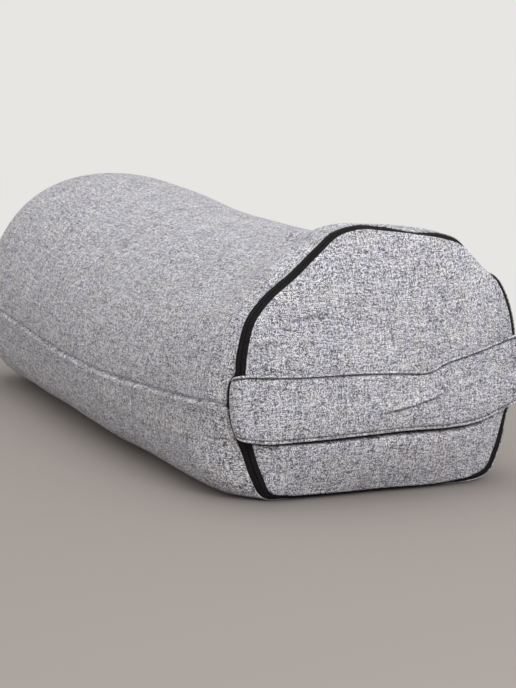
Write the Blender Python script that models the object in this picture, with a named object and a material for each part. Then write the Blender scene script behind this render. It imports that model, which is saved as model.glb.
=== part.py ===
"""Yoga bolster: a filled cloth roll lying on its side, with a zip round one end and a wide carrying handle.

The long axis is Y. The zipped end with the handle faces -Y, +X is to its right and +Z is up.
The origin is on the surface that the bolster lies on, under the middle of its bounding box.
All lengths are in metres; the tables are in millimetres and are scaled by MM where they are read.
"""

import math

import bmesh
import bpy
import numpy as np
from mathutils import Vector

MM = 0.001

# Driving sizes
BODY_LENGTH = 0.650
BODY_GIRTH = 0.760
PANEL_CENTRE_HEIGHT = 0.105
SECTION_PEAK = -0.008
ZIP_WIDTH = 0.0096
ZIP_TAPE_HEIGHT = 0.0012
ZIP_RIDGE_HEIGHT = 0.0020
ZIP_RIDGE_OFFSET = 0.0014
ZIP_GROOVE_HEIGHT = 0.0009
CLOTH_THICKNESS = 0.0018
HANDLE_THICKNESS = 0.0034
HANDLE_EDGE_THICKNESS = 0.0022
HANDLE_EDGE_ROUND = 0.0012
HANDLE_EDGE_INSET = 0.0035
HANDLE_MIDDLE = 0.6
GAP = 0.0005
PANEL_GAP = 0.0015
ZIP_BED_GAP = 0.0009
LIP_HEIGHT = 0.0016

# Filled shape
NEAR_CROWN = 0.022
FAR_CROWN = 0.020
CROWN_POWER = 2.2
OVAL_FADE = 3
NEAR_SHOULDER = 0.100
NEAR_RIM_FADE = 3
SHOULDER_EASE = 3.2
SHOULDER_PUFF = 3.6
PUFF_SWELL = 0.010
PUFF_SIDE_WIDTH = 0.040
FAR_SHOULDER = 0.090
FAR_ROUNDNESS = 2.2
FAR_SEAM_SHRINK = 0.84
FAR_PANEL_SHARE = 0.99
UPPER_FULLNESS = 2.15
BOTTOM_PRESS = 0.005
FLOOR_CLEARANCE = 0.0008
SEAM_DEPTH = 0.0016
SEAM_HALF_WIDTH = 0.0040

# Mesh density
COLUMNS = 72
CROWN_RINGS = (0.0, 0.22, 0.42, 0.60, 0.76, 0.89, 0.97)
BODY_RINGS_MM = (4, 9, 16, 25, 37, 52, 72, 98, 130, 170, 215, 265, 315, 365, 415, 465, 515,
                 552, 580, 602, 620, 634, 643)
OUTLINE_STEPS = 24
SECTION_POINTS = 2880

# Centreline of the zip round the near end, clockwise from the long seam on the left flank.
# x, z: place in mm; tilt: how far the zip faces forwards, in degrees, 0 where it lies along the flank
ZIP_LINE = (
    ("x", "z", "tilt"),
    (-122, 79, 46),
    (-120.5, 103, 42),
    (-117.5, 124, 38),
    (-111, 145, 32),
    (-98, 162, 27),
    (-76, 180, 24),
    (-54, 199, 21),
    (-40, 209, 19),
    (-22, 213.5, 16),
    (4, 212.5, 12),
    (30, 207.5, 4),
    (52, 204.5, 10),
    (67, 197.5, 9),
    (88, 176, 3),
    (104, 165.5, 22),
    (116, 145, 32),
    (121, 118, 34),
    (121, 86, 36),
    (113, 56, 38),
    (106, 27, 38),
    (96, 10, 30),
    (81, 4.6, 15),
    (62, 3.3, 8),
    (0, 3.2, 5),
    (-62, 3.2, 12),
    (-82, 3.6, 22),
    (-97, 7.5, 42),
    (-107, 21, 60),
    (-117, 46, 58),
)

# Cross-sections of the filled body, from the near seam to the far one, in mm.
# back: distance behind the near seam; left, right: half widths; top: height; waist: height of the
# widest place; corner: how square the lower corners are; seam: height of the long seam
SECTIONS = (
    ("back", "left", "right", "top", "waist", "corner", "seam"),
    (0, 141, 130, 214, 64, 4.8, 82),
    (60, 144, 131, 200.5, 62, 4.6, 78),
    (150, 145, 131, 193, 62, 4.3, 73),
    (280, 144, 131, 190.5, 62, 4.1, 68.5),
    (400, 140, 130, 194, 66, 3.7, 69.5),
    (520, 135.5, 128, 203, 70, 3.5, 75.5),
    (650, 132, 126, 208, 74, 3.3, 83),
)

# The handle from its left root, round the zip, across the near end and into its right root, in mm.
# low_x, mid_x, top_x: across the width, from its lower to its upper edge; forward: of the near seam;
# bottom, top: heights of its two edges
HANDLE = (
    ("low_x", "mid_x", "top_x", "forward", "bottom", "top"),
    (-124.5, -128.5, -127, 0.3, 60, 99),
    (-126, -130.5, -129, 2.6, 56, 103.5),
    (-126.5, -132, -130.5, 6.0, 54, 105.5),
    (-123.5, -129.5, -128.5, 11.5, 52.5, 105.5),
    (-117.5, -122, -121, 15.8, 51.7, 105.7),
    (-105, -107.5, -107, 20.5, 50.6, 105.3),
    (-81.5, -81.5, -81.5, 27.5, 51.2, 104.7),
    (-58.7, -58.7, -58.7, 32.2, 52.1, 105.3),
    (-40, -40, -40, 35.2, 53.1, 105.7),
    (-17, -17, -17, 37.2, 54.0, 105.2),
    (5, 5, 5, 37.8, 55.2, 104.2),
    (22, 22, 22, 37.2, 55.9, 102.7),
    (32, 32, 32, 36.4, 56.1, 103.7),
    (43, 43, 43, 35.2, 56.1, 108.7),
    (58, 58, 58, 33.0, 56.7, 111.9),
    (78, 78, 78, 28.2, 58.7, 115.7),
    (104.6, 104.6, 104.6, 20.5, 66.6, 121.1),
    (120, 121, 120, 15.8, 69.8, 122.8),
    (129, 130, 129, 11.0, 71, 123),
    (131, 132.5, 131.5, 6.0, 72, 122.5),
    (128.5, 130.5, 130, 2.4, 73, 120.5),
    (126, 128, 127.5, 0.2, 74.5, 118.5),
)

CLOTH_GREY = (0.40, 0.39, 0.41)
ZIP_BLACK = (0.012, 0.011, 0.012)


def column(table, name):
    """One named column of a table, as an array."""
    index = table[0].index(name)
    return np.array([row[index] for row in table[1:]], float)


def smooth_curve(knots, values, where):
    """Cubic Hermite curve through values at the given knots, read at the points where."""
    slopes = np.gradient(values, knots, axis=0)
    index = np.clip(np.searchsorted(knots, where, side="right") - 1, 0, len(knots) - 2)
    span = knots[index + 1] - knots[index]
    t = (where - knots[index]) / span
    if values.ndim > 1:
        t, span = t[:, None], span[:, None]
    start, end = values[index], values[index + 1]
    leave, arrive = slopes[index] * span, slopes[index + 1] * span
    return (start * (2 * t**3 - 3 * t**2 + 1) + leave * (t**3 - 2 * t**2 + t)
            + end * (3 * t**2 - 2 * t**3) + arrive * (t**3 - t**2))


def arc_lengths(points):
    steps = np.linalg.norm(np.diff(points, axis=0), axis=1)
    return np.concatenate([[0.0], np.cumsum(steps)])


def column_shares():
    """Where the columns of the mesh stand, as shares of the way round. Two hug the long seam."""
    even = np.arange(COLUMNS) / COLUMNS
    beside = SEAM_HALF_WIDTH / BODY_GIRTH
    return np.sort(np.concatenate([even, [beside, 1 - beside]]))


SHARES = column_shares()


def zip_ring():
    """Centre, tilt and outward direction of the zip at each column."""
    xz = np.stack([column(ZIP_LINE, "x"), column(ZIP_LINE, "z")], axis=1) * MM
    tilt = np.radians(column(ZIP_LINE, "tilt"))
    wrapped = np.concatenate([xz[-3:], xz, xz[:4]])
    tilts = np.concatenate([tilt[-3:], tilt, tilt[:4]])
    knots = arc_lengths(wrapped)
    start, end = knots[3], knots[3 + len(xz)]
    dense = np.linspace(start, end, len(xz) * OUTLINE_STEPS)
    fine = smooth_curve(knots, wrapped, dense)
    lengths = arc_lengths(fine)
    where = np.interp(SHARES * lengths[-1], lengths, dense)
    centre = smooth_curve(knots, wrapped, where)
    along = smooth_curve(knots, wrapped, where + MM) - smooth_curve(knots, wrapped, where - MM)
    along /= np.linalg.norm(along, axis=1)[:, None]
    outward = np.stack([-along[:, 1], along[:, 0]], axis=1)
    return centre, smooth_curve(knots, tilts, where), outward


def section_ring(back):
    """One cross-section of the filled body at a distance behind the near seam, at each column."""
    at = np.array([back])
    knots = column(SECTIONS, "back") * MM
    left, right, top, waist, seam = (
        float(smooth_curve(knots, column(SECTIONS, name) * MM, at)[0])
        for name in ("left", "right", "top", "waist", "seam")
    )
    corner = float(smooth_curve(knots, column(SECTIONS, "corner"), at)[0])
    angle = np.linspace(0, 2 * math.pi, SECTION_POINTS, endpoint=False)
    cos, sin = np.cos(angle), np.sin(angle)
    power = 2 / np.where(sin >= 0, UPPER_FULLNESS, corner)
    reach = np.where(cos > 0, left + SECTION_PEAK, right - SECTION_PEAK)
    x = SECTION_PEAK - np.sign(cos) * np.abs(cos) ** power * reach
    height = np.where(sin >= 0, top - waist, waist + BOTTOM_PRESS)
    z = waist + np.sign(sin) * np.abs(sin) ** power * height
    points = np.stack([x, np.maximum(z, 0.0)], axis=1)
    on_left = points[:, 0] < -0.5 * left
    first = int(np.argmin(np.where(on_left, np.abs(points[:, 1] - seam), 1.0)))
    points = np.roll(points, -first, axis=0)
    points = np.concatenate([points, points[:1]])
    lengths = arc_lengths(points)
    where = SHARES * lengths[-1]
    return np.stack([np.interp(where, lengths, points[:, i]) for i in (0, 1)], axis=1)


def on_zip(across, above):
    """Points on the zip's own profile: across is from its panel edge (-) to its body edge (+)."""
    centre, tilt, outward = zip_ring()
    cos, sin = np.cos(tilt)[:, None], np.sin(tilt)[:, None]
    flat = centre + outward * (sin * across + cos * above)
    y = (cos * across - sin * above)[:, 0]
    return np.stack([flat[:, 0], y, np.maximum(flat[:, 1], FLOOR_CLEARANCE)], axis=1)


def crowned_ring(rim, share, crown):
    """A ring of a crowned end panel, share of the way out from its middle to its rim.

    Near the middle the ring is an ellipse, so the corners of the rim fade out of the crown.
    """
    middle = np.array([0.0, rim[:, 1].mean(), PANEL_CENTRE_HEIGHT])
    spoke = rim - middle
    turn = np.arctan2(spoke[:, 2], spoke[:, 0])
    oval = np.stack([np.cos(turn) * np.abs(spoke[:, 0]).max(), np.zeros(len(rim)),
                     np.sin(turn) * np.abs(spoke[:, 2]).max()], axis=1)
    weight = share**OVAL_FADE
    ring = middle + (spoke * weight + oval * (1 - weight)) * share
    ring[:, 1] += crown * (1 - share**CROWN_POWER)
    return ring


def panel_rings(rim, crown, edge_normal, depth):
    """The rings of an end panel from its middle to its rim, all sunk into the filling by depth."""
    rings = np.array([crowned_ring(rim, share, crown) for share in CROWN_RINGS + (1.0,)])
    outwards = np.gradient(rings, axis=0)
    around = np.roll(rings, -1, axis=1) - np.roll(rings, 1, axis=1)
    normals = np.cross(around, outwards)
    normals[0] = (0.0, 1.0, 0.0)
    normals /= np.linalg.norm(normals, axis=2)[:, :, None]
    normals *= np.where(normals[:, :, 1:2] * crown > 0, 1.0, -1.0)
    normals[-1] = edge_normal
    normals[-2] = (normals[-2] + edge_normal) / 2
    return list(rings - normals * depth)


def near_panel_rings(depth):
    rim = on_zip(-ZIP_WIDTH / 2 - GAP, ZIP_TAPE_HEIGHT / 2)
    edge_normal = on_zip(0.0, MM) - on_zip(0.0, 0.0)
    return panel_rings(rim, -NEAR_CROWN, edge_normal / MM, depth)


def far_rim():
    section = section_ring(BODY_LENGTH)
    middle = np.array([0.0, PANEL_CENTRE_HEIGHT])
    return middle + (section - middle) * FAR_SEAM_SHRINK


def far_panel_rings(depth):
    middle = np.array([0.0, PANEL_CENTRE_HEIGHT])
    flat = middle + (far_rim() - middle) * FAR_PANEL_SHARE
    rim = np.stack([flat[:, 0], np.full(len(flat), BODY_LENGTH), flat[:, 1]], axis=1)
    return panel_rings(rim, FAR_CROWN, np.array([0.0, 1.0, 0.0]), depth)


def body_ring(back):
    """A ring of the body's cloth surface, drawn in to the zip in front and to the far seam behind."""
    edge = on_zip(ZIP_WIDTH / 2 + GAP, LIP_HEIGHT)
    section = section_ring(back)
    outward = zip_ring()[2]
    swell = ((section - edge[:, [0, 2]]) * outward).sum(axis=1)
    towards_left = 0.5 - 0.5 * np.tanh(edge[:, 0] / PUFF_SIDE_WIDTH)
    steepness = SHOULDER_EASE + SHOULDER_PUFF * np.tanh(swell / PUFF_SWELL) * towards_left
    into = np.clip(back / NEAR_SHOULDER, 0, 1)
    ease = (1 - (1 - into) ** steepness)[:, None]
    flat = edge[:, [0, 2]] * (1 - ease) + section * ease
    y = back + edge[:, 1] * (1 - into) ** NEAR_RIM_FADE
    from_far = np.clip((BODY_LENGTH - back) / FAR_SHOULDER, 0, 1)
    round_off = (1 - (1 - from_far) ** FAR_ROUNDNESS) ** (1 / FAR_ROUNDNESS)
    flat = far_rim() * (1 - round_off) + flat * round_off
    middle = np.array([0.0, PANEL_CENTRE_HEIGHT])
    inward = middle - flat[0]
    inward = inward / np.linalg.norm(inward)
    flat[0] += inward * SEAM_DEPTH * from_far
    flat[:, 1] = np.maximum(flat[:, 1], 0.0)
    return np.stack([flat[:, 0], y, flat[:, 1]], axis=1)


def loft(name, rings, material, closed_ends):
    """A closed solid through rings of points. closed_ends says whether each end shrinks to one point."""
    bm = bmesh.new()
    made = []
    for number, ring in enumerate(rings):
        is_pole = closed_ends and number in (0, len(rings) - 1)
        places = [np.mean(ring, axis=0)] if is_pole else ring
        made.append([bm.verts.new(Vector(place)) for place in places])
    pairs = list(zip(made, made[1:]))
    if not closed_ends:
        pairs.append((made[-1], made[0]))
    for first, second in pairs:
        count = max(len(first), len(second))
        for i in range(count):
            j = (i + 1) % count
            corners = [first[i % len(first)], first[j % len(first)],
                       second[j % len(second)], second[i % len(second)]]
            bm.faces.new(list(dict.fromkeys(corners)))
    bmesh.ops.recalc_face_normals(bm, faces=bm.faces)
    return finish_object(name, bm, material)


def finish_object(name, bm, material):
    mesh = bpy.data.meshes.new(name)
    bm.to_mesh(mesh)
    bm.free()
    mesh.materials.append(material)
    mesh.shade_smooth()
    mesh.set_sharp_from_angle(angle=math.radians(50))
    obj = bpy.data.objects.new(name, mesh)
    bpy.context.scene.collection.objects.link(obj)
    return obj


def make_material(name, colour, roughness):
    material = bpy.data.materials.new(name)
    material.use_nodes = True
    shader = material.node_tree.nodes["Principled BSDF"]
    shader.inputs["Base Color"].default_value = (*colour, 1.0)
    shader.inputs["Roughness"].default_value = roughness
    shader.inputs["Metallic"].default_value = 0.0
    material.diffuse_color = (*colour, 1.0)
    return material


def make_body(material):
    """The filled roll. Its ends step in under the two end panels and under the zip."""
    rings = near_panel_rings(CLOTH_THICKNESS + PANEL_GAP)
    rings.append(on_zip(0.0, -ZIP_BED_GAP))
    rings.append(on_zip(ZIP_WIDTH / 2 + GAP, -ZIP_BED_GAP))
    rings.append(on_zip(ZIP_WIDTH / 2 + GAP, LIP_HEIGHT))
    rings += [body_ring(back * MM) for back in BODY_RINGS_MM]
    rings.append(body_ring(BODY_LENGTH))
    step = far_panel_rings(CLOTH_THICKNESS + PANEL_GAP)
    flat = far_rim()
    rings.append(np.stack([flat[:, 0], step[-1][:, 1], flat[:, 1]], axis=1))
    rings += step[::-1]
    return loft("bolster_body", rings, material, closed_ends=True)


def make_panel(name, rings_at, material):
    """One end panel: a crowned skin of cloth over the filling."""
    return loft(name, rings_at(0.0) + rings_at(CLOTH_THICKNESS)[::-1], material, closed_ends=True)


def make_zip(material):
    """Two smooth tapes that meet in a raised pair of folds, one closed band all the way round."""
    half = ZIP_WIDTH / 2
    profile = ((-half, 0.0), (-half, ZIP_TAPE_HEIGHT), (-ZIP_RIDGE_OFFSET, ZIP_RIDGE_HEIGHT),
               (0.0, ZIP_GROOVE_HEIGHT), (ZIP_RIDGE_OFFSET, ZIP_RIDGE_HEIGHT),
               (half, ZIP_TAPE_HEIGHT), (half, 0.0))
    rings = [on_zip(across, above) for across, above in profile]
    return loft("zip_band", rings, material, closed_ends=False)


def make_handle(material):
    """A wide flat handle: a cloth tube pressed flat, with rounded long edges."""
    names = ("low_x", "mid_x", "top_x", "forward", "bottom", "top")
    table = np.stack([column(HANDLE, name) for name in names], axis=1) * MM
    knots = arc_lengths(table[:, [1, 3]])
    where = np.unique(np.concatenate([knots, (knots[1:] + knots[:-1]) / 2]))
    rows = smooth_curve(knots, table, where)
    ahead = smooth_curve(knots, table[:, [1, 3]], np.minimum(where + MM, knots[-1]))
    behind = smooth_curve(knots, table[:, [1, 3]], np.maximum(where - MM, 0.0))
    along = (ahead - behind) / np.linalg.norm(ahead - behind, axis=1)[:, None]
    full, thin = HANDLE_THICKNESS / 2, HANDLE_EDGE_THICKNESS / 2
    inset, middle = HANDLE_EDGE_INSET, HANDLE_MIDDLE
    # Share of the width, shift from there and distance outwards, once round the handle's section
    profile = (
        (0, 0.0, 0.0), (0, HANDLE_EDGE_ROUND, thin), (0, inset, full), (0.25, 0.0, full),
        (0.5, 0.0, full), (0.75, 0.0, full), (1, -inset, full), (1, -HANDLE_EDGE_ROUND, thin),
        (1, 0.0, 0.0), (1, -HANDLE_EDGE_ROUND, -thin), (1, -inset, -full), (0.75, 0.0, -full),
        (0.5, 0.0, -full), (0.25, 0.0, -full), (0, inset, -full), (0, HANDLE_EDGE_ROUND, -thin),
    )
    rings = []
    for (low_x, mid_x, top_x, forward, bottom, top), heading in zip(rows, along):
        ring = []
        for share, offset, out in profile:
            v = share + offset / (top - bottom)
            x = (low_x * (1 - v) * (1 - v / middle) + mid_x * v * (1 - v) / (middle * (1 - middle))
                 + top_x * v * (v - middle) / (1 - middle))
            ring.append((x - heading[1] * out, -forward - heading[0] * out, bottom + v * (top - bottom)))
        rings.append(np.array(ring))
    return loft("handle_strap", [rings[0]] + rings + [rings[-1]], material, closed_ends=True)


def centre_on_origin(objects):
    """Moves the meshes so that the middle of the whole object's bounding box stands over the origin."""
    corners = np.array([vertex.co for obj in objects for vertex in obj.data.vertices])
    low, high = corners.min(axis=0), corners.max(axis=0)
    shift = Vector(((-low[0] - high[0]) / 2, (-low[1] - high[1]) / 2, -low[2]))
    for obj in objects:
        for vertex in obj.data.vertices:
            vertex.co += shift


def main():
    for obj in list(bpy.data.objects):
        bpy.data.objects.remove(obj)
    cloth = make_material("grey_melange_cloth", CLOTH_GREY, 0.9)
    tape = make_material("black_zip_tape", ZIP_BLACK, 0.6)
    centre_on_origin([
        make_body(cloth),
        make_panel("end_panel_near", near_panel_rings, cloth),
        make_panel("end_panel_far", far_panel_rings, cloth),
        make_zip(tape),
        make_handle(cloth),
    ])


main()
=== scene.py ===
import math

import bmesh
import bpy
import numpy as np
from mathutils import Matrix, Vector, noise


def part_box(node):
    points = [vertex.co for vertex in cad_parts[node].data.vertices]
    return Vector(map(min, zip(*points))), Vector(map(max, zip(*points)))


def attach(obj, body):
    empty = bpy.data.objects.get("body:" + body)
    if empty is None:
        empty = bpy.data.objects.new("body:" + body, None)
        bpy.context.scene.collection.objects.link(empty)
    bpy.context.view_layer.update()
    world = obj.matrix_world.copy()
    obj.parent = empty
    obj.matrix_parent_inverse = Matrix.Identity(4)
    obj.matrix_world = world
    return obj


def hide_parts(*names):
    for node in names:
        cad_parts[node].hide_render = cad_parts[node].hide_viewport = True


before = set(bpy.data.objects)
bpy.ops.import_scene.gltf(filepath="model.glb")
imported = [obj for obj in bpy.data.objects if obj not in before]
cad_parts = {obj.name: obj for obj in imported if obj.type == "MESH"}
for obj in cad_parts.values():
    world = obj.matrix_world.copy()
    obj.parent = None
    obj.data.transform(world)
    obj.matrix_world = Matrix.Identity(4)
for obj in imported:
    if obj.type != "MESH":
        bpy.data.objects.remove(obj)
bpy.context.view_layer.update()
mm = 0.001
weldDistance = 0.00002
creaseReach = 0.42  # a crease fades at this share of its length from its middle

# The same driving sizes as the solids, in metres
bolster = {
    "length": 0.650,
    "panelMiddle": 0.105,
    "sectionPeak": -0.008,
    "upperFullness": 2.15,
    "bottomPress": 0.005,
    "floorClearance": 0.0008,
    "clothThickness": 0.0018,
    "backingGap": 0.0030,
    "nearCrown": 0.022,
    "farCrown": 0.020,
    "crownPower": 2.2,
    "ovalFade": 3,
    "farSeamShrink": 0.84,
    "farPanelShare": 0.99,
    "rimTurnFrom": 0.8,  # share of the way out where a panel starts to turn to its rim
    "rimTurnSpan": 0.2,
    "sectionSteps": 2880,
}
shoulders = {
    "near": 0.100,
    "rimFade": 3,
    "ease": 3.2,
    "puff": 3.6,
    "puffSwell": 0.010,
    "puffSideWidth": 0.040,
    "puffFade": 0.004,
    "far": 0.090,
    "farRoundness": 2.2,
}
zipper = {
    "width": 0.0088,
    "tapeHeight": 0.0008,
    "ridgeHeight": 0.0015,
    "slitHeight": 0.0002,
    "edgeGap": 0.0003,
    "bedGap": 0.0009,
    "lipHeight": 0.0016,
    "panelLip": 0.0015,
    "rimGap": 0.0004,
    "edgeStep": 0.0001,
    "bareLeftOf": -0.1,  # more of the tape shows only to the left of this x
    "curveSteps": 24,
    "columns": 720,
}
puffs = (  # x and z of a place on the zip in mm, reach along it, distance behind, depth there, height
    (34, 206, 26, 13, 11, 3.4),
    (84, 180, 17, 17, 15, 1.5),
    (-22, 213, 60, 73, 26, -6.0),
    (-22, 213, 50, 33, 11, 1.6),
    (-70, 186, 24, 20, 15, 1.2),
    (-119, 112, 22, 16, 14, 1.4),
)
bareTape = np.array([  # height up the left side and how much more tape shows there, in mm
    (40, 0.4), (50, 1.2), (56, 2.4), (66, 3.6), (80, 4.6),
    (92, 5.0), (98, 4.2), (102, 1.8), (106, 0.6), (124, 0),
])

# Centreline of the zip round the near end, clockwise from the long seam on the left flank.
# x and z in mm; the third value is how far the zip faces forwards, in degrees
zipLine = np.array([
    (-122, 79, 46), (-120.5, 103, 42), (-118, 124, 38), (-111.5, 145.5, 32), (-97.8, 161.8, 27),
    (-75.2, 179.2, 24), (-53.2, 198.4, 21), (-39.9, 209, 20), (-22, 213.6, 18), (4, 211.2, 18),
    (30, 206.5, 9), (51.5, 203.8, 24), (67.5, 198.8, 24), (87, 176.6, -12), (103.8, 166, 32),
    (114.3, 146.2, 42), (120.3, 118, 44), (121.5, 86, 45), (113, 55.5, 50), (105.3, 27, 60),
    (96.5, 10.3, 58), (81, 5.2, 39), (62, 3.9, 25), (0, 3.6, 24), (-62, 3.6, 25),
    (-82, 4.0, 31), (-98.3, 6.6, 44), (-106.3, 20.5, 58), (-115.3, 46.5, 58),
])

# Cross-sections of the filled body in mm: distance behind the near seam, left and right half
# widths, top, height of the widest place, squareness of the lower corners, height of the long seam
sections = np.array([
    (0, 141, 130, 214, 64, 4.8, 82),
    (60, 144, 131, 200.5, 62, 4.6, 78),
    (150, 145, 131, 193, 62, 4.3, 73),
    (280, 144, 131, 190.5, 62, 4.1, 68.5),
    (400, 140, 130, 194, 66, 3.7, 69.5),
    (520, 135.5, 128, 202, 70, 3.5, 75.5),
    (650, 132, 126, 206, 74, 3.3, 83),
])

# The handle from its left root to its right one in mm: x of its lower edge, middle and upper edge,
# distance forward of the near seam, heights of its lower and upper edge
clearRows = slice(3, 19)  # the rows that stand clear of the zip
handleRows = np.array([
    (-124.5, -128.5, -127, 0.3, 61, 92),
    (-126, -130.5, -129, 2.6, 57, 98),
    (-126.5, -132, -130.5, 6.0, 54.3, 102.5),
    (-123.5, -129.5, -128.5, 11.5, 52.5, 104.8),
    (-117.5, -122, -121, 15.0, 51.7, 105.7),
    (-105, -107.5, -107, 18.6, 50.4, 105.2),
    (-81.5, -81.5, -81.5, 23.6, 50.8, 104.3),
    (-58.7, -58.7, -58.7, 27.2, 51.5, 104.7),
    (-40, -40, -40, 29.6, 52.4, 105.0),
    (-17, -17, -17, 31.2, 53.3, 104.4),
    (5, 5, 5, 31.6, 54.2, 103.3),
    (22, 22, 22, 31.2, 54.0, 101.8),
    (32, 32, 32, 30.6, 53.7, 102.9),
    (43, 43, 43, 29.6, 53.3, 107.9),
    (58, 58, 58, 27.8, 53.4, 111.2),
    (78, 78, 78, 24.4, 55.2, 115.4),
    (104.6, 104.6, 104.6, 18.8, 63.4, 121.6),
    (120, 121, 120, 15.0, 68.2, 124.2),
    (129, 130, 129, 11.0, 70, 124.8),
    (131, 132.5, 131.5, 6.0, 71.5, 124.6),
    (128.5, 130.5, 130, 2.4, 72.8, 122.8),
    (126, 128, 127.5, 0.2, 74.5, 120.5),
])

# The near seam is the plane y = 0 of the tables; here is where the solids hold it
offset = Vector((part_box("bolster_body")[0].x + 0.1450,
                 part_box("end_panel_far")[1].y - bolster["length"] - bolster["farCrown"], 0.0))


def smoothCurve(knots, values, where):  # cubic curve through values at the knots
    slopes = np.gradient(values, knots, axis=0)
    index = np.clip(np.searchsorted(knots, where, side="right") - 1, 0, len(knots) - 2)
    span = knots[index + 1] - knots[index]
    t = (where - knots[index]) / span
    if values.ndim > 1:
        t, span = t[:, None], span[:, None]
    start, end = values[index], values[index + 1]
    leave, arrive = slopes[index] * span, slopes[index + 1] * span
    return (start * (2 * t**3 - 3 * t**2 + 1) + leave * (t**3 - 2 * t**2 + t)
            + end * (3 * t**2 - 2 * t**3) + arrive * (t**3 - t**2))


def headingBetween(knots, points, before, after):
    along = smoothCurve(knots, points, after) - smoothCurve(knots, points, before)
    return along / np.linalg.norm(along, axis=1)[:, None]


def arcLengths(points):
    steps = np.linalg.norm(np.diff(points, axis=0), axis=1)
    return np.concatenate([[0.0], np.cumsum(steps)])


def wavyNoise(points, size, seed):  # smooth noise from -1 to 1 at each point
    return np.array([noise.noise(Vector(point) / size + Vector((seed, 0.37 * seed, 1.7)))
                     for point in points])


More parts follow.
